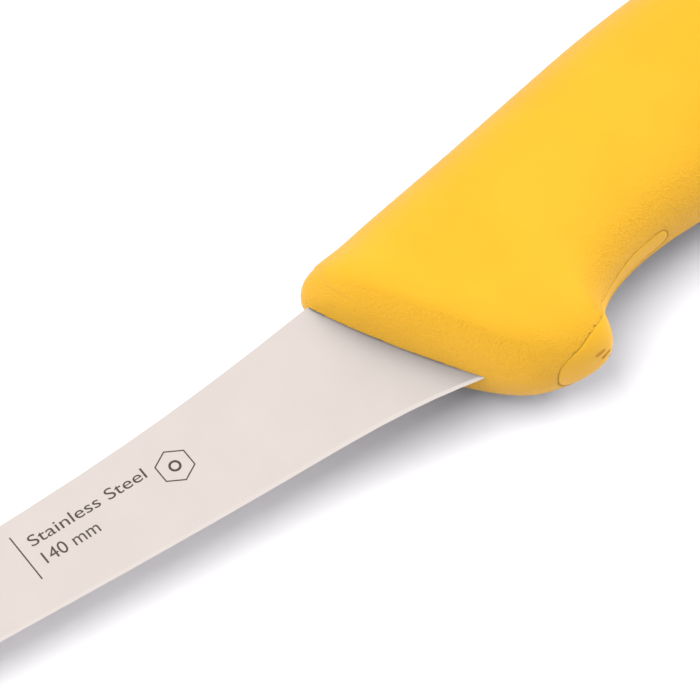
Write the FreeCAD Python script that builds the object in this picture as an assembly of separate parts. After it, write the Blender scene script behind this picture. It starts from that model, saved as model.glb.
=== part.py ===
"""Boning knife: a ground stainless blade with a handle moulded over its tang in two shots of plastic.

Frame, in millimetres: the knife lies on its side. X runs along the blade, with the tip towards -X and the
butt towards +X. Y runs across the blade, with the spine towards +Y and the cutting edge towards -Y. Z is
square to the blade, and z = 0 is its middle plane. The origin is the middle of the blade's root, where the
blade leaves the handle.
"""
import FreeCAD, Part
import math
import os

Vector = FreeCAD.Vector

# ---- Blade ----
BLADE_LENGTH = 140.0         # from the handle's front to the tip
EDGE_HALF = 0.15             # half of the blade's thickness at the shoulders of the cutting bevel
TAPER = 0.0325               # growth of that half thickness per millimetre from the edge to the spine
TAPER_LINE_SLOPE = -0.056    # slope of the line of least thickness, which follows the straight of the edge
HEEL = (6.9, -11.85)         # where the cutting edge runs into the handle
ROOT_CORNER = (9.2, -12.3)   # end of the edge line, hidden in the handle
BEVEL_ANGLE = 20.0           # of each of the two cutting bevels, in degrees from the middle plane

STRIP_HALF_THICKNESS = 1.0   # of the flat strip that the blade is ground from, and of the tang
WEDGE_REACH = 60.0           # how far from the blade's middle the space between the ground sides reaches
CUTTER_REACH_IN = 2.5        # from the edge to the inner side of the tool that cuts the bevels
CUTTER_REACH_OUT = 1.5       # from the edge to the outer side of that tool
CUTTER_RUN_IN = 4.0          # of that tool before it meets the tip

TIP = (-BLADE_LENGTH, 3.2)
SPINE_LINE = (
    TIP, (-131.0, 5.0), (-116.0, 6.4), (-92.0, 7.0), (-58.0, 7.2), (-34.0, 8.2), (-5.3, 11.45), (2.0, 12.5),
)
EDGE_LINE = (
    TIP, (-134.5, -0.4), (-123.0, -3.4), (-98.0, -5.8), (-67.0, -7.55), (-23.0, -9.4), (-0.3, -10.65),
    HEEL, ROOT_CORNER,
)

# ---- Tang, hidden in the handle ----
TANG_LENGTH = 92.0           # from the origin to the tang's round end
TANG_HALF_WIDTH = 6.5
TANG_RISE = 7.5              # angle between the tang and the blade, in degrees
TANG_START = (6.0, 2.0)      # a point of the tang's centre line
TANG_HOLES = (24.0, 50.0, 76.0)   # from TANG_START to the centres of the holes that lock the plastic
TANG_HOLE_RADIUS = 3.0
ROOT_RELIEF = 0.05           # the root is this much lower than each ground side
RELIEF_LEAD = 0.2            # how far ahead of the handle the relief begins

# ---- Handle ----
FRONT_TILT = 28.6            # of the handle's front from square to the blade, in degrees
FRONT_BULGE = 0.8            # how far the middle of the front stands ahead of its rim
FRONT_DEPTH = 4.6            # from the middle of the front back to where its rounding ends
FRONT_CROWN = 7.0            # how far the front face has turned at each end of its rim, in degrees
FRONT_SCALES = (0.35, 0.7, 0.92)   # sizes of the sections of the front face, as fractions of its rim
NOSE_CENTRE = (-2.1, 12.2)   # of the rounding at the spine end of the front
NOSE_RADIUS = 3.15
NOSE_TURN_END = 110.0        # angle from +X at which that rounding ends, in degrees
GUARD_CENTRE = (17.2, -8.7)  # of the rounding at the edge end of the front
GUARD_RADIUS = 9.75
GUARD_TURN_END = 262.0       # angle from +X at which that rounding ends, in degrees
ROUNDING_STEPS = 5
SHOULDER_HALF_THICKNESS = 8.6   # where the rounding of the front ends
SECTION_POWER = 2.35         # of the superellipse of a cross-section: 2 is an ellipse, more is squarer
FRONT_POWER = 1.8            # of the rim of the front face, which is more pointed at the nose and the guard
BELLY_THINNING = 0.07        # the belly side is thinner, and the spine side thicker, by this fraction
SECTION_STEPS = 32           # points round a cross-section

# Cross-sections behind the front: spine-side point, belly-side point and half thickness.
BODY_SECTIONS = (
    ((2.0, 16.1), (19.4, -19.1), 8.85),
    ((7.0, 17.05), (22.75, -18.95), 9.0),
    ((12.0, 17.95), (25.0, -17.6), 9.1),
    ((17.5, 18.9), (26.0, -15.15), 9.1),
    ((23.0, 19.85), (27.1, -13.15), 9.1),
    ((30.0, 21.15), (30.35, -10.7), 9.2),
    ((38.0, 22.65), (37.6, -8.45), 9.4),
    ((49.0, 24.7), (48.5, -7.6), 9.8),
    ((62.0, 26.4), (62.5, -8.0), 10.3),
    ((77.0, 27.4), (78.0, -8.8), 10.5),
    ((93.0, 26.6), (94.5, -7.6), 10.3),
    ((107.0, 23.7), (108.0, -6.6), 9.9),
    ((117.5, 19.8), (117.8, -8.2), 9.4),
)
BUTT_END = (131.0, 2.0)      # rearmost point of the handle
BUTT_SECTIONS = (
    ((125.0, 15.2), (124.6, -10.6), 8.2),
    ((129.0, 10.6), (128.8, -10.6), 6.3),
    ((130.7, 6.4), (130.7, -6.4), 3.9),
)
POLE_SCALE = 0.06            # size of the small flat left at each end of the moulded body

# ---- Core, the first shot ----
CORE_DEPTH = 4.5             # of plastic between the handle's front and the core
CORE_HALF_WIDTH = 9.0
CORE_HALF_THICKNESS = 4.2
CORE_OVERRUN = 5.0           # of the core behind the tang's end
# Where the core shows on the underside of the handle: half of the outline as (x, z) points.
WINDOW_OUTLINE = (
    (15.3, 0.0), (16.4, 2.5), (19.4, 3.7), (22.4, 4.5), (25.6, 3.6), (28.0, 1.6), (30.8, 1.2), (34.2, 1.6),
    (39.4, 1.7), (41.6, 1.2), (42.2, 0.0),
)
RIB_BOTTOM, RIB_TOP = -30.0, 2.0   # along Y: from below the handle up into the core


def spline(points):
    """An edge that runs smoothly through the points of the middle plane."""
    curve = Part.BSplineCurve()
    curve.interpolate([Vector(x, y, 0) for x, y in points])
    return curve.toShape()


def direction(degrees):
    """The unit vector in the middle plane at an angle from +X."""
    return Vector(math.cos(math.radians(degrees)), math.sin(math.radians(degrees)), 0)


def lerp(start, end, fraction):
    return start + (end - start) * fraction


# ---- Handle body ----

def section_curve(top, belly, half_thickness, power=SECTION_POWER, scale=1.0, forward=Vector()):
    """The upper half of a superellipse across the handle, from its spine-side to its belly-side point."""
    centre = (top + belly) * 0.5
    half_height = (top - belly) * 0.5
    points = []
    for step in range(SECTION_STEPS):
        angle = 2 * math.pi * step / SECTION_STEPS
        reach = (abs(math.cos(angle)) ** power + abs(math.sin(angle)) ** power) ** (-1 / power)
        across = reach * math.cos(angle)
        thickness = half_thickness * (1 + BELLY_THINNING * across)
        up = Vector(0, 0, thickness * reach * math.sin(angle))
        points.append(centre + forward + (half_height * across + up) * scale)
    curve = Part.BSplineCurve()
    turns = [step / SECTION_STEPS for step in range(SECTION_STEPS + 1)]
    curve.interpolate(Points=points, PeriodicFlag=True, Parameters=turns)
    curve.segment(0.0, 0.5)
    return curve


def skin(curves):
    """A smooth surface through curves that share their knots."""
    grid = [curve.getPoles() for curve in curves]
    stations = [0.0]
    for before, after in zip(grid, grid[1:]):
        gaps = [start.distanceToPoint(end) for start, end in zip(before, after)]
        stations.append(stations[-1] + sum(gaps) / len(gaps))
    runs = []
    for row in zip(*grid):
        run = Part.BSplineCurve()
        run.interpolate(Points=list(row), Parameters=stations)
        runs.append(run)
    surface = Part.BSplineSurface()
    surface.buildFromPolesMultsKnots(
        [run.getPoles() for run in runs], curves[0].getMultiplicities(), runs[0].getMultiplicities(),
        curves[0].getKnots(), runs[0].getKnots(), False, False, curves[0].Degree, runs[0].Degree)
    return surface.toShape()


def front_sections():
    """The sections of the bulging front face, from its middle out towards its rim."""
    forward = direction(180 + FRONT_TILT)
    top, belly = rounding_points(0.0)
    rim_half_thickness = front_half_thickness(FRONT_BULGE)
    sections = []
    for scale in (POLE_SCALE,) + FRONT_SCALES:
        rise = scale * rim_half_thickness / SHOULDER_HALF_THICKNESS
        ahead = FRONT_BULGE - FRONT_DEPTH * (1 - math.sqrt(1 - rise ** 2))
        sections.append(section_curve(top, belly, rim_half_thickness, FRONT_POWER, scale, forward * ahead))
    return sections


def front_half_thickness(back):
    """Half of the thickness at a distance behind the middle of the front: a quarter of an ellipse."""
    return SHOULDER_HALF_THICKNESS * math.sqrt(1 - (1 - back / FRONT_DEPTH) ** 2)


def rounding_points(fraction):
    """The spine-side and belly-side points of a section in the rounding of the front.

    At fraction 0 it is the rim of the front face, and at fraction 1 the section where the rounding ends.
    """
    front = 180 + FRONT_TILT
    nose_turn = lerp(front - FRONT_CROWN, NOSE_TURN_END, fraction)
    guard_turn = lerp(front + FRONT_CROWN, GUARD_TURN_END, fraction)
    top = Vector(*NOSE_CENTRE, 0) + direction(nose_turn) * NOSE_RADIUS
    belly = Vector(*GUARD_CENTRE, 0) + direction(guard_turn) * GUARD_RADIUS
    return top, belly


def rounding_sections():
    """The rounded rim between the front face and the sides."""
    forward = direction(180 + FRONT_TILT)
    rim_top, rim_belly = rounding_points(0.0)
    sections = []
    for step in range(ROUNDING_STEPS + 1):
        fraction = step / ROUNDING_STEPS
        top, belly = rounding_points(fraction)
        behind_rim = (rim_top + rim_belly - top - belly).dot(forward) / 2
        half_thickness = front_half_thickness(FRONT_BULGE + behind_rim)
        power = lerp(FRONT_POWER, SECTION_POWER, fraction)
        sections.append(section_curve(top, belly, half_thickness, power))
    return sections


def body_sections():
    """The cross-sections behind the front, down to the small flat at the butt's end."""
    sections = []
    for top_point, belly_point, half_thickness in BODY_SECTIONS + BUTT_SECTIONS:
        top, belly = Vector(*top_point, 0), Vector(*belly_point, 0)
        sections.append(section_curve(top, belly, half_thickness))
    to_end = Vector(*BUTT_END, 0) - (top + belly) * 0.5
    sections.append(section_curve(top, belly, half_thickness, SECTION_POWER, POLE_SCALE, to_end))
    return sections


def handle_body():
    """The whole outside shape of the handle, as one solid without the blade's slot.

    The upper half is skinned over the half sections and mirrored in the middle plane, where the halves
    of the mould part.
    """
    sections = front_sections() + rounding_sections() + body_sections()
    upper = [skin(sections)] + [end_cap(section) for section in (sections[0], sections[-1])]
    lower = [face.mirror(Vector(), Vector(0, 0, 1)) for face in upper]
    shell = Part.Shell(upper + lower)
    shell.sewShape()
    return Part.Solid(shell)


def end_cap(section):
    """Half of the small flat inside the first or the last section."""
    rim = section.toShape()
    chord = Part.makeLine(section.EndPoint, section.StartPoint)
    return Part.Face(Part.Wire([rim, chord]))


# ---- Blade ----

def half_thickness_at(x, y):
    """Half of the ground blade's thickness at a point of the middle plane."""
    line_y = HEEL[1] + TAPER_LINE_SLOPE * (x - HEEL[0])
    return EDGE_HALF + TAPER * (y - line_y)


def block_between(first, last):
    """A solid with flat sides between two polygons with the same number of corners."""
    count = len(first)
    polygons = [first, last]
    for i in range(count):
        j = (i + 1) % count
        polygons.append([first[i], first[j], last[j], last[i]])
    faces = [Part.Face(Part.makePolygon(points + points[:1])) for points in polygons]
    solid = Part.Solid(Part.Shell(faces))
    solid.fix(1e-6, 1e-6, 1e-6)
    return solid


def taper_wedge(relief=0.0):
    """The space between the planes of the two ground sides, each lowered by the relief."""
    ends = []
    for x in (-BLADE_LENGTH - 10, TANG_LENGTH + 20):
        far_half = half_thickness_at(x, WEDGE_REACH) - relief
        apex_y = WEDGE_REACH - far_half / TAPER
        far_up = Vector(0, 0, far_half)
        far = Vector(x, WEDGE_REACH, 0)
        ends.append([Vector(x, apex_y, 0), far + far_up, far - far_up])
    return block_between(*ends)


def flat_between(*edges):
    """The flat region of the middle plane inside a loop of edges."""
    return Part.Face(Part.Wire(edges))


def line(start, end):
    return Part.makeLine(Vector(*start, 0), Vector(*end, 0))


def through(face, half_depth):
    """A region of the middle plane made into a solid of the given depth on both sides."""
    solid = face.extrude(Vector(0, 0, 2 * half_depth))
    solid.translate(Vector(0, 0, -half_depth))
    return solid


def slot_shape(start, end, half_width, half_depth):
    """A bar with round ends between two points of the middle plane."""
    along = (end - start).normalize()
    aside = Vector(-along.y, along.x, 0) * half_width
    beyond = along * half_width
    return through(flat_between(
        Part.makeLine(start - aside, end - aside),
        Part.Arc(end - aside, end + beyond, end + aside).toShape(),
        Part.makeLine(end + aside, start + aside),
        Part.Arc(start + aside, start - beyond, start - aside).toShape(),
    ), half_depth)


def bevel_cutter(side):
    """Everything above the cutting bevel of one side of the blade, swept along the edge."""
    edge = spline(EDGE_LINE)
    along = edge.tangentAt(edge.FirstParameter)
    outward = Vector(along.y, -along.x, 0)
    tip = edge.valueAt(edge.FirstParameter)
    start = tip - along * CUTTER_RUN_IN
    slope = math.tan(math.radians(BEVEL_ANGLE))
    profile = (
        (-CUTTER_REACH_IN, CUTTER_REACH_IN * slope),
        (CUTTER_REACH_OUT, -CUTTER_REACH_OUT * slope),
        (CUTTER_REACH_OUT, STRIP_HALF_THICKNESS),
        (-CUTTER_REACH_IN, STRIP_HALF_THICKNESS),
    )
    corners = []
    for reach, up in profile:
        corners.append(start + outward * reach + Vector(0, 0, up * side))
    sweep = Part.BRepOffsetAPI.MakePipeShell(Part.Wire([Part.makeLine(start, tip), edge]))
    sweep.setBiNormalMode(Vector(0, 0, 1))
    sweep.add(Part.makePolygon(corners + corners[:1]))
    sweep.build()
    sweep.makeSolid()
    return sweep.shape()


def tang_point(distance):
    return Vector(*TANG_START, 0) + direction(TANG_RISE) * distance


def blade(body):
    """The blade and its tang, one stamped and ground strip.

    Its root is a little lower than the ground sides, so that each ground side is a face of its own that
    ends just ahead of the handle.
    """
    outline = flat_between(spline(SPINE_LINE), line(SPINE_LINE[-1], EDGE_LINE[-1]), spline(EDGE_LINE))
    tang_reach = TANG_LENGTH - TANG_START[0] - TANG_HALF_WIDTH
    strip = through(outline, STRIP_HALF_THICKNESS).fuse(
        slot_shape(tang_point(0), tang_point(tang_reach), TANG_HALF_WIDTH, STRIP_HALF_THICKNESS))
    strip = strip.common(taper_wedge())
    for side in (1, -1):
        strip = strip.cut(bevel_cutter(side))
    for distance in TANG_HOLES:
        bottom = tang_point(distance) - Vector(0, 0, STRIP_HALF_THICKNESS)
        strip = strip.cut(Part.makeCylinder(TANG_HOLE_RADIUS, 2 * STRIP_HALF_THICKNESS, bottom))
    root_zone = body.translated(direction(180 + FRONT_TILT) * RELIEF_LEAD)
    return strip.cut(root_zone.cut(taper_wedge(ROOT_RELIEF)))


# ---- Core and grip ----

def core_space():
    """The space that the first shot of plastic fills, with the part that breaks through under the handle."""
    reach = TANG_LENGTH + CORE_OVERRUN - TANG_START[0] - CORE_HALF_WIDTH
    start = TANG_START[0] + CORE_DEPTH
    around_tang = slot_shape(tang_point(start), tang_point(reach), CORE_HALF_WIDTH, CORE_HALF_THICKNESS)
    return around_tang.fuse(window_rib())


def window_rib():
    """The rib of the core that reaches the underside of the handle, with a bottle-shaped outline."""
    upper = [Vector(x, RIB_BOTTOM, z) for x, z in WINDOW_OUTLINE]
    lower = [Vector(x, RIB_BOTTOM, -z) for x, z in WINDOW_OUTLINE[-2:0:-1]]
    outline = Part.BSplineCurve()
    outline.interpolate(Points=upper + lower, PeriodicFlag=True)
    foot = Part.Face(Part.Wire([outline.toShape()]))
    return foot.extrude(Vector(0, RIB_TOP - RIB_BOTTOM, 0))


def main():
    os.makedirs("parts", exist_ok=True)
    body = handle_body()
    blade_solid = blade(body)
    core_solid = body.common(core_space()).cut(blade_solid)
    grip_solid = body.cut(core_space()).cut(blade_solid)
    parts = {"blade": blade_solid, "handle_core": core_solid, "handle_grip": grip_solid}
    for name, shape in parts.items():
        shape.exportStep(f"parts/{name}.step")


main()
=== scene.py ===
"""Looks of the boning knife: a ground blade in a yellow moulded handle, on a white floor in soft light.

Everything is in metres in the CAD's frame: -X is towards the tip, +Y towards the spine and +Z square to
the blade.
"""

import math

import bmesh
import bpy
import numpy as np
from mathutils import Euler, Matrix, Vector


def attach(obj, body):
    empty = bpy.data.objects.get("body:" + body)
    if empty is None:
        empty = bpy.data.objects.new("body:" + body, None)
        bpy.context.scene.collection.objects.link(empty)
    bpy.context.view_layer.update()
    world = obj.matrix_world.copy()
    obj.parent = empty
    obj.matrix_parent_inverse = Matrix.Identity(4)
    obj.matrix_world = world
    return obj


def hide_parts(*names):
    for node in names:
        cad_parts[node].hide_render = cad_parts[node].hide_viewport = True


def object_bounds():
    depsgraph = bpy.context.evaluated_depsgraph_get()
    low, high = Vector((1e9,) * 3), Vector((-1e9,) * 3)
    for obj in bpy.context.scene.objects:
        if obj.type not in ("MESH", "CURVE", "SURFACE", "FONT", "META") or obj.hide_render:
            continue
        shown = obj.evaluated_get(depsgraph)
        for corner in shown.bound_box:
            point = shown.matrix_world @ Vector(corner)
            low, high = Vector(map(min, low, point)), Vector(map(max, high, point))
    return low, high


MM = 0.001

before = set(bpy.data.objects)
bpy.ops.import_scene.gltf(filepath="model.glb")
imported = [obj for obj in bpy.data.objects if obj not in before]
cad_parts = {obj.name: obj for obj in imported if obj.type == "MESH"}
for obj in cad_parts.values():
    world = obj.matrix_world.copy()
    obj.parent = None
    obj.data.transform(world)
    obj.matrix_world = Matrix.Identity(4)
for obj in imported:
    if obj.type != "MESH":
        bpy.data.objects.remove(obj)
cad_low, cad_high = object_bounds()

# ---- Handle ----
SKIN_VOXEL = 0.25 * MM          # edge length of the fine skin over the moulded pieces
SKIN_SMOOTHING = 2              # rounds of smoothing, which round the skin's sharp edges a little
GRAIN_SIZE = 0.3 * MM
GRIP_GRAIN_HEIGHT = 0.23 * MM
CORE_GRAIN_HEIGHT = 0.03 * MM
PIT_SHADE_FULL_HEIGHT = 0.65 * MM     # a grain of this height or more gets the painted shade in its pits in full
GATE_MARKS = ((21.9, 1.5, 1.8), (22.9, 0.3, 1.8))   # place along X, place along Z and length, in mm
GATE_WIDTH = 0.55 * MM
GATE_HEIGHT = 0.24 * MM
GATE_RAGGEDNESS = 0.15          # of a gate mark's outline, as a share of its size
GATE_WAVES = (9.0, 11.0)        # of that raggedness along and across the mark, in radians per its size
INSERT_HALF_HEIGHT = 5.4 * MM   # of the mould's nose insert, above and below the middle plane
INSERT_BACK = -1.6 * MM         # along X, where the insert ends on the spine
INSERT_FADE_START = 5.0 * MM    # along Y, where the insert's traces fade in
INSERT_FADE_END = 8.0 * MM
INSERT_LINE_HALF_WIDTH = 0.35 * MM
INSERT_LINE_DEPTH = 0.08 * MM
INSERT_RECESS = 0.14 * MM       # of the surface that the insert moulded, below the rest
INSERT_FACING = -0.2            # X part of the surface normal, below which the surface faces forward
LEAST_SLOPE = 0.2               # keeps distances along the surface finite where it is level

# ---- Marks etched in the blade ----
ETCH_THICKNESS = 0.012 * MM
SPOT_ON_BLADE = (-60.0 * MM, 0.0)   # where the blade's side is measured, for the plane of the marks
ETCHED_LINES = (                # name, text, left end, baseline, width, and height above it, in mm
    ("mark_steel", "Stainless Steel", -56.5, 1.9, 18.4, 1.75),
    ("mark_length", "140 mm", -56.3, -1.35, 8.6, 1.9),
)
RULE_CENTRE = (-58.2 * MM, 1.0 * MM)
RULE_HALF_WIDTH = 0.1 * MM
RULE_HALF_LENGTH = 3.9 * MM
HEXAGON_CENTRE = (-34.2 * MM, 1.2 * MM)
HEXAGON_RADII = (2.78 * MM, 2.56 * MM)      # outside and inside of its line, at the corners
RING_RADII = (0.9 * MM, 0.55 * MM)          # outside and inside of the ring in the hexagon
RING_CORNERS = 24

# ---- Camera and light ----
FLOOR_HALF_SIZE = 6.0
FLOOR_PIVOT = 60 * MM           # along X, of the line about which the floor is tilted
FLOOR_DROP = 0.02 * MM          # of that line below the handle's lowest point
FLOOR_TILT = -0.022             # slope of the floor along X, relative to the blade
LIGHT_DISTANCE = 1.1
TIP_LIGHT_AZIMUTH = 160.0       # of the large softbox beyond the blade's tip, from +X, in degrees
TIP_LIGHT_ELEVATION = 60.0
TIP_LIGHT_SIZE = 1.1
TIP_LIGHT_POWER = 15.0
BUTT_LIGHT_AZIMUTH = 0.0        # of the softbox beyond the handle's butt
BUTT_LIGHT_ELEVATION = 20.0
BUTT_LIGHT_SIZE = 0.8
BUTT_LIGHT_POWER = 12.0
AMBIENT = 0.42                  # brightness of the surroundings, for matt surfaces
SHEEN = 1.0                     # brightness of the surroundings as shiny surfaces mirror them
SPILL_GREY = 0.30               # of the handle, as matt surfaces round it see it
MIRRORED_HANDLE_SHADE_GREY = 0.33              # of the handle as shiny surfaces mirror it: a painted dark reflection that shades the blade by the handle
STEEL_SPILL_GREY = 0.74         # of the blade, as matt surfaces round it see it
CAMERA_TARGET = Vector((-4.29, 2.73, 0.0)) * MM
CAMERA_DISTANCE = 610.5 * MM
CAMERA_AZIMUTH = -123.70        # from +X to the camera, in degrees
CAMERA_ELEVATION = 54.84        # above the XY plane, in degrees
CAMERA_ROLL = -2.70             # about the line of sight, in degrees
CAMERA_LENS = 231.43            # millimetres, on a 36 mm sensor


def smoothstep(low, high, value):
    """0 at `low`, 1 at `high` and a smooth curve between them."""
    t = np.clip((value - low) / (high - low), 0.0, 1.0)
    return t * t * (3 - 2 * t)


# ---- Materials ----

YELLOW = (0.77, 0.41, 0.022)
YELLOW_DEEP = (0.74, 0.39, 0.018)
# painted shade: the darker yellows of the gate marks
GATE_SHADE_YELLOW = (0.62, 0.27, 0.012)
GATE_SHADE_YELLOW_DEEP = (0.48, 0.20, 0.009)
# painted shade in the grain's pits, stronger where the surface tilts
PAINTED_PIT_SHADE_YELLOW = (0.70, 0.345, 0.012)
STEEL_DARK = (0.83, 0.745, 0.70)
STEEL_LIGHT = (0.855, 0.77, 0.725)
# painted highlight on the blade's bevels
BEVEL_HIGHLIGHT_STEEL = (0.872, 0.79, 0.75)
OXIDE_DARK = (0.045, 0.034, 0.026)
OXIDE_LIGHT = (0.085, 0.066, 0.052)
PAPER_DARK = (0.93, 0.91, 0.932)
PAPER_LIGHT = (0.94, 0.92, 0.942)

PLASTIC_ROUGHNESS = (0.42, 0.56)
PLASTIC_IOR = 1.46
PLASTIC_SPECULAR = 0.33
STEEL_ROUGHNESS = (0.36, 0.52)
OXIDE_ROUGHNESS = (0.6, 0.8)
GRAIN_AND_PIT_SHADE_TILT = (1.0, 0.76)        # Z part of the surface normal where the grain and its pits' painted shade start and where they are full
BEVEL_HIGHLIGHT_TILT = (0.98, 0.96)       # the same for the painted highlight on the blade's bevels
PIT_SHADE_LEVELS = (0.60, 0.35)       # of the grain noise, where the painted shade in a pit starts and where it is full
NOISE_SPAN = (0.3, 0.7)         # of a noise's values, over which a colour changes
DRIFT_SPAN = (0.35, 0.65)       # the same for the plastic's drift
DRIFT_SIZE = 14 * MM            # of the patches in which the plastic's colour drifts
SWELL_SIZE = 5 * MM             # of the slight unevenness of the plastic
SWELL_HEIGHT = 0.05 * MM
GRINDING_LINE_SIZE = 0.12 * MM
GRINDING_SPACE = (1.0, 0.02, 1.0)   # scale of the grinding noise's space: its Y makes the lumps long lines
GRINDING_LINE_HEIGHT = 0.0015 * MM
CLOUD_SIZE = 9 * MM             # of the faint clouds in the steel
MOTTLE_SIZE = 0.15 * MM         # of the unevenness of the etched marks
PAPER_SIZE = 60 * MM            # of the faint clouds in the floor


class Nodes:
    """A material's node tree, with short calls to add and join nodes."""

    def __init__(self, name):
        self.material = bpy.data.materials.new(name)
        self.material.use_nodes = True
        self.tree = self.material.node_tree
        self.shader = self.tree.nodes["Principled BSDF"]

    def add(self, kind, **settings):
        node = self.tree.nodes.new("ShaderNode" + kind)
        for key, value in settings.items():
            setattr(node, key, value)
        return node

    def join(self, source, target):
        self.tree.links.new(source, target)

    def texture_space(self, scale=(1.0, 1.0, 1.0)):
        """Object coordinates stretched by a scale."""
        place = self.add("TexCoord")
        mapping = self.add("Mapping")
        mapping.inputs["Scale"].default_value = scale
        self.join(place.outputs["Object"], mapping.inputs["Vector"])
        return mapping.outputs["Vector"]

    def noise(self, vector, size, detail=2.0, roughness=0.5):
        """Noise whose lumps are about the given size in metres."""
        node = self.add("TexNoise")
        node.inputs["Scale"].default_value = 1.0 / size
        node.inputs["Detail"].default_value = detail
        node.inputs["Roughness"].default_value = roughness
        self.join(vector, node.inputs["Vector"])
        return node.outputs["Fac"]

    def ramp(self, value, first, second, span=NOISE_SPAN):
        """A colour that goes from the first to the second over a span of the value."""
        node = self.add("ValToRGB")
        for element, position, colour in zip(node.color_ramp.elements, span, (first, second)):
            element.position = position
            element.color = (*colour, 1.0)
        self.join(value, node.inputs["Fac"])
        return node.outputs["Color"]

    def remap(self, value, low, high):
        """A value that runs from 0 to 1, made to run from low to high."""
        node = self.add("MapRange")
        node.inputs["To Min"].default_value = low
        node.inputs["To Max"].default_value = high
        self.join(value, node.inputs["Value"])
        return node.outputs["Result"]

    def bump(self, height, distance, strength, normal=None):
        """The surface's normal with a relief. The strength is a number or another node's value."""
        node = self.add("Bump")
        node.inputs["Distance"].default_value = distance
        if isinstance(strength, float):
            node.inputs["Strength"].default_value = strength
        else:
            self.join(strength, node.inputs["Strength"])
        self.join(height, node.inputs["Height"])
        if normal:
            self.join(normal, node.inputs["Normal"])
        return node.outputs["Normal"]

    def tilt(self, level, tilted):
        """0 where the surface normal's Z part is at `level` or more, and 1 where it falls to `tilted`."""
        axes = self.add("SeparateXYZ")
        self.join(self.add("NewGeometry").outputs["True Normal"], axes.inputs["Vector"])
        square_on = self.add("Math", operation="ABSOLUTE")
        self.join(axes.outputs["Z"], square_on.inputs[0])
        return self.span(square_on.outputs["Value"], level, tilted)

    def span(self, value, start, end):
        """0 where the value is at or before the start, and 1 where it is at or past the end."""
        node = self.add("MapRange")
        node.inputs["From Min"].default_value = start
        node.inputs["From Max"].default_value = end
        self.join(value, node.inputs["Value"])
        return node.outputs["Result"]

    def times(self, first, second, factor):
        """The product of two node values and a fixed factor."""
        product = self.add("Math", operation="MULTIPLY")
        self.join(first, product.inputs[0])
        self.join(second, product.inputs[1])
        scaled = self.add("Math", operation="MULTIPLY")
        scaled.inputs[1].default_value = factor
        self.join(product.outputs["Value"], scaled.inputs[0])
        return scaled.outputs["Value"]

    def mixed(self, first, second, share):
        """A colour between the first, from a node, and the second, which is fixed."""
        choice = self.add("Mix", data_type="RGBA")
        self.join(share, choice.inputs["Factor"])
        colours = [socket for socket in choice.inputs if socket.type == "RGBA"]
        self.join(first, colours[0])
        colours[1].default_value = (*second, 1.0)
        return [socket for socket in choice.outputs if socket.type == "RGBA"][0]

    def seen_grey_by(self, ray, grey, shader):
        """The shader, except that one kind of ray from other surfaces sees a plain grey in its place."""
        path = self.add("LightPath")
        neutral = self.add("BsdfDiffuse")
        neutral.inputs["Color"].default_value = (grey, grey, grey, 1.0)
        choice = self.add("MixShader")
        self.join(path.outputs[ray], choice.inputs["Fac"])
        self.join(shader, choice.inputs[1])
        self.join(neutral.outputs["BSDF"], choice.inputs[2])
        return choice.outputs["Shader"]

    def keep_colour_off_others(self, greys):
        """The surface looks grey to the given kinds of ray, so that its colour doesn't spill on others."""
        shader = self.shader.outputs["BSDF"]
        for ray, grey in greys:
            shader = self.seen_grey_by(ray, grey, shader)
        self.join(shader, self.tree.nodes["Material Output"].inputs["Surface"])


def plastic(name, grain_height, deep=YELLOW_DEEP, light=YELLOW):
    """Moulded plastic, with a spark-eroded grain of a height and a slight drift between two colours.
    The grain's pits carry painted shade where the surface tilts.
    """
    nodes = Nodes(name)
    space = nodes.texture_space()
    drift = nodes.noise(space, DRIFT_SIZE)
    colour = nodes.ramp(drift, deep, light, DRIFT_SPAN)
    grain = nodes.noise(space, GRAIN_SIZE, 3.0, 0.55)
    tilt = nodes.tilt(*GRAIN_AND_PIT_SHADE_TILT)
    # painted shade: the pits darken where the surface tilts away from square on
    painted_pit_shade = nodes.times(nodes.span(grain, *PIT_SHADE_LEVELS), tilt, min(1.0, grain_height / PIT_SHADE_FULL_HEIGHT))
    nodes.join(nodes.mixed(colour, PAINTED_PIT_SHADE_YELLOW, painted_pit_shade), nodes.shader.inputs["Base Color"])
    nodes.join(nodes.remap(grain, *PLASTIC_ROUGHNESS), nodes.shader.inputs["Roughness"])
    swell = nodes.bump(nodes.noise(space, SWELL_SIZE), SWELL_HEIGHT, 0.4)
    nodes.join(nodes.bump(grain, grain_height, tilt, swell), nodes.shader.inputs["Normal"])
    nodes.shader.inputs["IOR"].default_value = PLASTIC_IOR
    nodes.shader.inputs["Specular IOR Level"].default_value = PLASTIC_SPECULAR
    # the dark grey in mirrored rays is a painted reflection, which shades the blade next to the handle
    nodes.keep_colour_off_others((("Is Diffuse Ray", SPILL_GREY), ("Is Glossy Ray", MIRRORED_HANDLE_SHADE_GREY)))
    return nodes.material


def ground_steel():
    """Satin stainless steel, with fine grinding lines that run from the spine to the edge.
    Its bevels carry a painted highlight.
    """
    nodes = Nodes("ground_steel")
    across = nodes.texture_space(GRINDING_SPACE)
    lines = nodes.noise(across, GRINDING_LINE_SIZE, 3.0, 0.6)
    clouds = nodes.noise(nodes.texture_space(), CLOUD_SIZE, 3.0)
    side = nodes.ramp(clouds, STEEL_DARK, STEEL_LIGHT)
    # painted highlight where the surface tilts onto a bevel
    painted_bevel_highlight = nodes.tilt(*BEVEL_HIGHLIGHT_TILT)
    nodes.join(nodes.mixed(side, BEVEL_HIGHLIGHT_STEEL, painted_bevel_highlight), nodes.shader.inputs["Base Color"])
    nodes.join(nodes.remap(lines, *STEEL_ROUGHNESS), nodes.shader.inputs["Roughness"])
    nodes.join(nodes.bump(lines, GRINDING_LINE_HEIGHT, 0.5), nodes.shader.inputs["Normal"])
    nodes.shader.inputs["Metallic"].default_value = 1.0
    nodes.keep_colour_off_others((("Is Diffuse Ray", STEEL_SPILL_GREY),))
    return nodes.material


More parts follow.
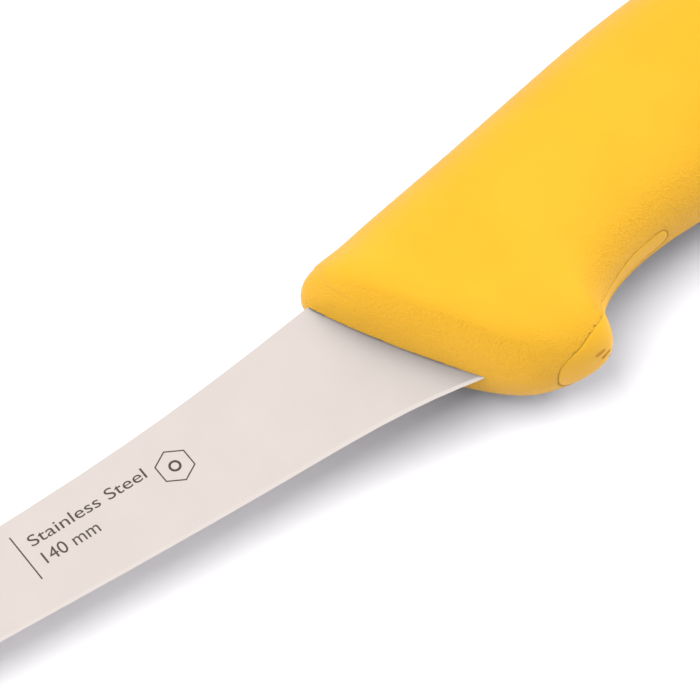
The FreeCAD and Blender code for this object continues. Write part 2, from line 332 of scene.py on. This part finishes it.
def etched_steel():
    """The dark, matt oxide of an electrochemically etched mark, a little uneven."""
    nodes = Nodes("etched_steel")
    mottle = nodes.noise(nodes.texture_space(), MOTTLE_SIZE, 3.0)
    colour = nodes.ramp(mottle, OXIDE_DARK, OXIDE_LIGHT)
    nodes.join(colour, nodes.shader.inputs["Base Color"])
    nodes.join(nodes.remap(mottle, *OXIDE_ROUGHNESS), nodes.shader.inputs["Roughness"])
    return nodes.material


def white_floor():
    """Matt white paper with the faintest clouds."""
    nodes = Nodes("white_floor")
    paper = nodes.noise(nodes.texture_space(), PAPER_SIZE)
    colour = nodes.ramp(paper, PAPER_DARK, PAPER_LIGHT)
    nodes.join(colour, nodes.shader.inputs["Base Color"])
    nodes.shader.inputs["Roughness"].default_value = 1.0
    nodes.shader.inputs["Specular IOR Level"].default_value = 0.0
    return nodes.material


# ---- Pieces ----

def add_object(name, data):
    piece = bpy.data.objects.new(name, data)
    bpy.context.scene.collection.objects.link(piece)
    return piece


def applied(piece):
    """The piece with its modifiers made part of its mesh."""
    evaluated = piece.evaluated_get(bpy.context.evaluated_depsgraph_get())
    mesh = bpy.data.meshes.new_from_object(evaluated)
    piece.modifiers.clear()
    piece.data = mesh
    return piece


def fine_skin(node, name):
    """A new piece over a CAD node: an even, fine mesh whose edges are slightly rounded."""
    piece = add_object(name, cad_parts[node].data.copy())
    remesh = piece.modifiers.new("skin", "REMESH")
    remesh.mode = "VOXEL"
    remesh.voxel_size = SKIN_VOXEL
    remesh.use_smooth_shade = True
    smooth = piece.modifiers.new("ease", "SMOOTH")
    smooth.factor = 0.5
    smooth.iterations = SKIN_SMOOTHING
    return applied(piece)


def coordinates(mesh):
    """The vertices' places and normals, one row each."""
    places = np.zeros(len(mesh.vertices) * 3, np.float32)
    mesh.vertices.foreach_get("co", places)
    normals = np.zeros(len(mesh.vertices) * 3, np.float32)
    mesh.vertex_normals.foreach_get("vector", normals)
    return places.reshape(-1, 3).astype(float), normals.reshape(-1, 3).astype(float)


def sink(mesh, depth):
    """Moves each vertex inwards by its own depth."""
    places, normals = coordinates(mesh)
    moved = places - normals * depth[:, None]
    mesh.vertices.foreach_set("co", moved.astype(np.float32).ravel())
    mesh.update()


def press_nose_insert(mesh):
    """The slight recess that the mould's nose insert leaves at the front of the handle, and its outline."""
    places, normals = coordinates(mesh)
    x, y, z = places.T
    slope = np.sqrt(np.clip(1 - normals[:, 2] ** 2, LEAST_SLOPE ** 2, 1.0))
    beyond_side = (np.abs(z) - INSERT_HALF_HEIGHT) / slope
    outside = np.maximum(beyond_side, x - INSERT_BACK)
    line = np.clip(1 - (outside / INSERT_LINE_HALF_WIDTH) ** 2, 0, 1) ** 2
    recess = smoothstep(INSERT_LINE_HALF_WIDTH, -INSERT_LINE_HALF_WIDTH, outside)
    fade = smoothstep(INSERT_FADE_START, INSERT_FADE_END, y)
    on_outside = ((normals[:, 0] < INSERT_FACING) | (normals[:, 1] > 0)) & (normals[:, 2] * z >= 0)
    sink(mesh, fade * on_outside * (line * INSERT_LINE_DEPTH + recess * INSERT_RECESS))


def moulded_piece(node, name, grain_height):
    """The skin that stands for one of the handle's two CAD nodes, in its own plastic."""
    piece = fine_skin(node, name)
    piece.data.materials.clear()
    piece.data.materials.append(plastic(name + "_plastic", grain_height))
    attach(piece, "root")
    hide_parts(node)
    return piece


def handle():
    grip = moulded_piece("handle_grip", "grip", GRIP_GRAIN_HEIGHT)
    press_nose_insert(grip.data)
    moulded_piece("handle_core", "core", CORE_GRAIN_HEIGHT)


def gate_marks():
    """The two short torn ridges where the core's plastic was let into its mould, under the finger guard.
    Their darker yellows are painted shade.
    """
    shaded_gate_plastic = plastic("gate_shade_plastic", CORE_GRAIN_HEIGHT, GATE_SHADE_YELLOW_DEEP, GATE_SHADE_YELLOW)
    for number, (x, z, length) in enumerate(GATE_MARKS, start=1):
        below = Vector((x * MM, cad_low.y - MM, z * MM))
        found, place, normal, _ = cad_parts["handle_core"].ray_cast(below, Vector((0, 1, 0)))
        if not found:
            raise RuntimeError("the core isn't over a gate mark")
        shape = bmesh.new()
        bmesh.ops.create_uvsphere(shape, u_segments=24, v_segments=12, radius=0.5)
        for vertex in shape.verts:
            waves = math.sin(GATE_WAVES[0] * vertex.co.x + number) * math.cos(GATE_WAVES[1] * vertex.co.y)
            vertex.co *= 1 + GATE_RAGGEDNESS * waves
        mesh = bpy.data.meshes.new(f"gate_mark_{number}")
        shape.to_mesh(mesh)
        shape.free()
        mesh.materials.append(shaded_gate_plastic)
        piece = add_object(mesh.name, mesh)
        along = normal.cross(Vector((0, 0, 1))).normalized()
        turn = Matrix((along, normal.cross(along), normal)).transposed()
        size = Matrix.Diagonal((length * MM, GATE_WIDTH, GATE_HEIGHT, 1.0))
        piece.matrix_world = Matrix.Translation(place) @ turn.to_4x4() @ size
        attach(piece, "root")


def blade_plane():
    """The point and the normal of the blade's upper side under the marks."""
    spot = Vector((*SPOT_ON_BLADE, 10 * MM))
    found, place, normal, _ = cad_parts["blade"].ray_cast(spot, Vector((0, 0, -1)))
    if not found:
        raise RuntimeError("the blade isn't under the marks")
    return place, normal


def lay_on_blade(piece, x, y):
    """Turns a piece drawn in the XY plane onto the blade's upper side, with its own origin at (x, y)."""
    place, normal = blade_plane()
    z = place.z - ((x - place.x) * normal.x + (y - place.y) * normal.y) / normal.z
    turn = Vector((0, 0, 1)).rotation_difference(normal)
    top = Vector((x, y, z)) + normal * ETCH_THICKNESS
    piece.matrix_world = Matrix.Translation(top) @ turn.to_matrix().to_4x4()


def etched_text(name, text, left, baseline, width, height):
    """A line of plain lettering, fitted to a width and to a height above its baseline."""
    curve = bpy.data.curves.new(name, "FONT")
    curve.body = text
    source = add_object(name + "_source", curve)
    bpy.context.view_layer.update()
    mesh = bpy.data.meshes.new_from_object(source.evaluated_get(bpy.context.evaluated_depsgraph_get()))
    bpy.data.objects.remove(source)
    places, _ = coordinates(mesh)
    low, high = places.min(0), places.max(0)
    places[:, 0] = (places[:, 0] - low[0]) * width / (high[0] - low[0])
    places[:, 1] *= height / high[1]
    mesh.vertices.foreach_set("co", places.astype(np.float32).ravel())
    mesh.name = name
    etched_piece(mesh, left, baseline)


def etched_piece(mesh, x, y):
    """A flat mesh given a little thickness and laid on the blade."""
    mesh.materials.clear()
    mesh.materials.append(bpy.data.materials["etched_steel"])
    piece = add_object(mesh.name, mesh)
    solid = piece.modifiers.new("thickness", "SOLIDIFY")
    solid.thickness = ETCH_THICKNESS
    applied(piece)
    lay_on_blade(piece, x, y)
    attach(piece, "root")


def rectangle(name, half_width, half_length):
    """A flat, one-sided mesh round the origin."""
    corners = [(-half_width, -half_length, 0.0), (half_width, -half_length, 0.0),
               (half_width, half_length, 0.0), (-half_width, half_length, 0.0)]
    mesh = bpy.data.meshes.new(name)
    mesh.from_pydata(corners, [], [(0, 1, 2, 3)])
    return mesh


def outline_mesh(name, loops):
    """A flat mesh made of strips between pairs of loops with the same number of points."""
    mesh = bpy.data.meshes.new(name)
    places, faces = [], []
    for outer, inner in loops:
        base, count = len(places), len(outer)
        places += [(x, y, 0.0) for x, y in outer + inner]
        for i in range(count):
            j = (i + 1) % count
            faces.append((base + i, base + j, base + count + j, base + count + i))
    mesh.from_pydata(places, [], faces)
    mesh.validate()
    return mesh


def polygon(corners, radius, turn=0.0):
    """The corners of a regular polygon round the origin."""
    angles = [math.radians(turn) + 2 * math.pi * i / corners for i in range(corners)]
    return [(radius * math.cos(angle), radius * math.sin(angle)) for angle in angles]


def marks():
    """Plain marks in place of the maker's: a rule, the steel and the blade's length, and a bare hexagon."""
    etched_steel()
    for name, text, *numbers in ETCHED_LINES:
        etched_text(name, text, *(number * MM for number in numbers))
    etched_piece(rectangle("mark_rule", RULE_HALF_WIDTH, RULE_HALF_LENGTH), *RULE_CENTRE)
    hexagon = [polygon(6, radius, 30) for radius in HEXAGON_RADII]
    ring = [polygon(RING_CORNERS, radius) for radius in RING_RADII]
    etched_piece(outline_mesh("mark_hexagon", (hexagon, ring)), *HEXAGON_CENTRE)


# ---- Stage ----

def floor():
    """A large floor that rises a little towards the blade's tip."""
    mesh = rectangle("floor", FLOOR_HALF_SIZE, FLOOR_HALF_SIZE)
    mesh.materials.append(white_floor())
    piece = add_object("floor", mesh)
    piece.location = (FLOOR_PIVOT, 0, cad_low.z - FLOOR_DROP)
    piece.rotation_euler = (0, math.atan(-FLOOR_TILT), 0)


def direction(azimuth, elevation):
    """The unit vector at an azimuth from +X and an elevation above the XY plane, in degrees."""
    a, e = math.radians(azimuth), math.radians(elevation)
    return Vector((math.cos(a) * math.cos(e), math.sin(a) * math.cos(e), math.sin(e)))


def softbox(name, azimuth, elevation, size, power):
    """A square area light that faces the knife. Neither the camera nor the shiny surfaces see it."""
    light = bpy.data.lights.new(name, "AREA")
    light.shape = "SQUARE"
    light.size = size
    light.energy = power
    lamp = add_object(name, light)
    lamp.location = direction(azimuth, elevation) * LIGHT_DISTANCE
    lamp.rotation_euler = direction(azimuth, elevation).to_track_quat("Z", "Y").to_euler()
    lamp.visible_camera = False
    lamp.visible_glossy = False


def lights():
    """Soft light from all round, which is brighter in mirrored rays than in the rest, and two lamps."""
    world = bpy.data.worlds.new("studio")
    world.use_nodes = True
    background = world.node_tree.nodes["Background"]
    background.inputs["Color"].default_value = (1.0, 1.0, 1.0, 1.0)
    path = world.node_tree.nodes.new("ShaderNodeLightPath")
    strength = world.node_tree.nodes.new("ShaderNodeMapRange")
    strength.inputs["To Min"].default_value = AMBIENT
    strength.inputs["To Max"].default_value = SHEEN
    world.node_tree.links.new(path.outputs["Is Glossy Ray"], strength.inputs["Value"])
    world.node_tree.links.new(strength.outputs["Result"], background.inputs["Strength"])
    bpy.context.scene.world = world
    softbox("tip_light", TIP_LIGHT_AZIMUTH, TIP_LIGHT_ELEVATION, TIP_LIGHT_SIZE, TIP_LIGHT_POWER)
    softbox("butt_light", BUTT_LIGHT_AZIMUTH, BUTT_LIGHT_ELEVATION, BUTT_LIGHT_SIZE, BUTT_LIGHT_POWER)
    bpy.context.scene.view_settings.view_transform = "Standard"


def camera():
    """A long lens that looks down on the knife from the side of its cutting edge."""
    data = bpy.data.cameras.new("camera")
    data.sensor_width = 36.0
    data.lens = CAMERA_LENS
    data.clip_start, data.clip_end = 0.01, 20.0
    view = add_object("camera", data)
    back = direction(CAMERA_AZIMUTH, CAMERA_ELEVATION)
    roll = Euler((0, 0, math.radians(CAMERA_ROLL))).to_quaternion()
    view.rotation_mode = "QUATERNION"
    view.rotation_quaternion = (-back).to_track_quat("-Z", "Y") @ roll
    view.location = CAMERA_TARGET + back * CAMERA_DISTANCE
    bpy.context.scene.camera = view


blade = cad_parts["blade"]
blade.data.materials.clear()
blade.data.materials.append(ground_steel())
gate_marks()    # before the handle, because the CAD's core can't be measured once its skin stands for it
handle()
marks()
floor()
lights()
camera()
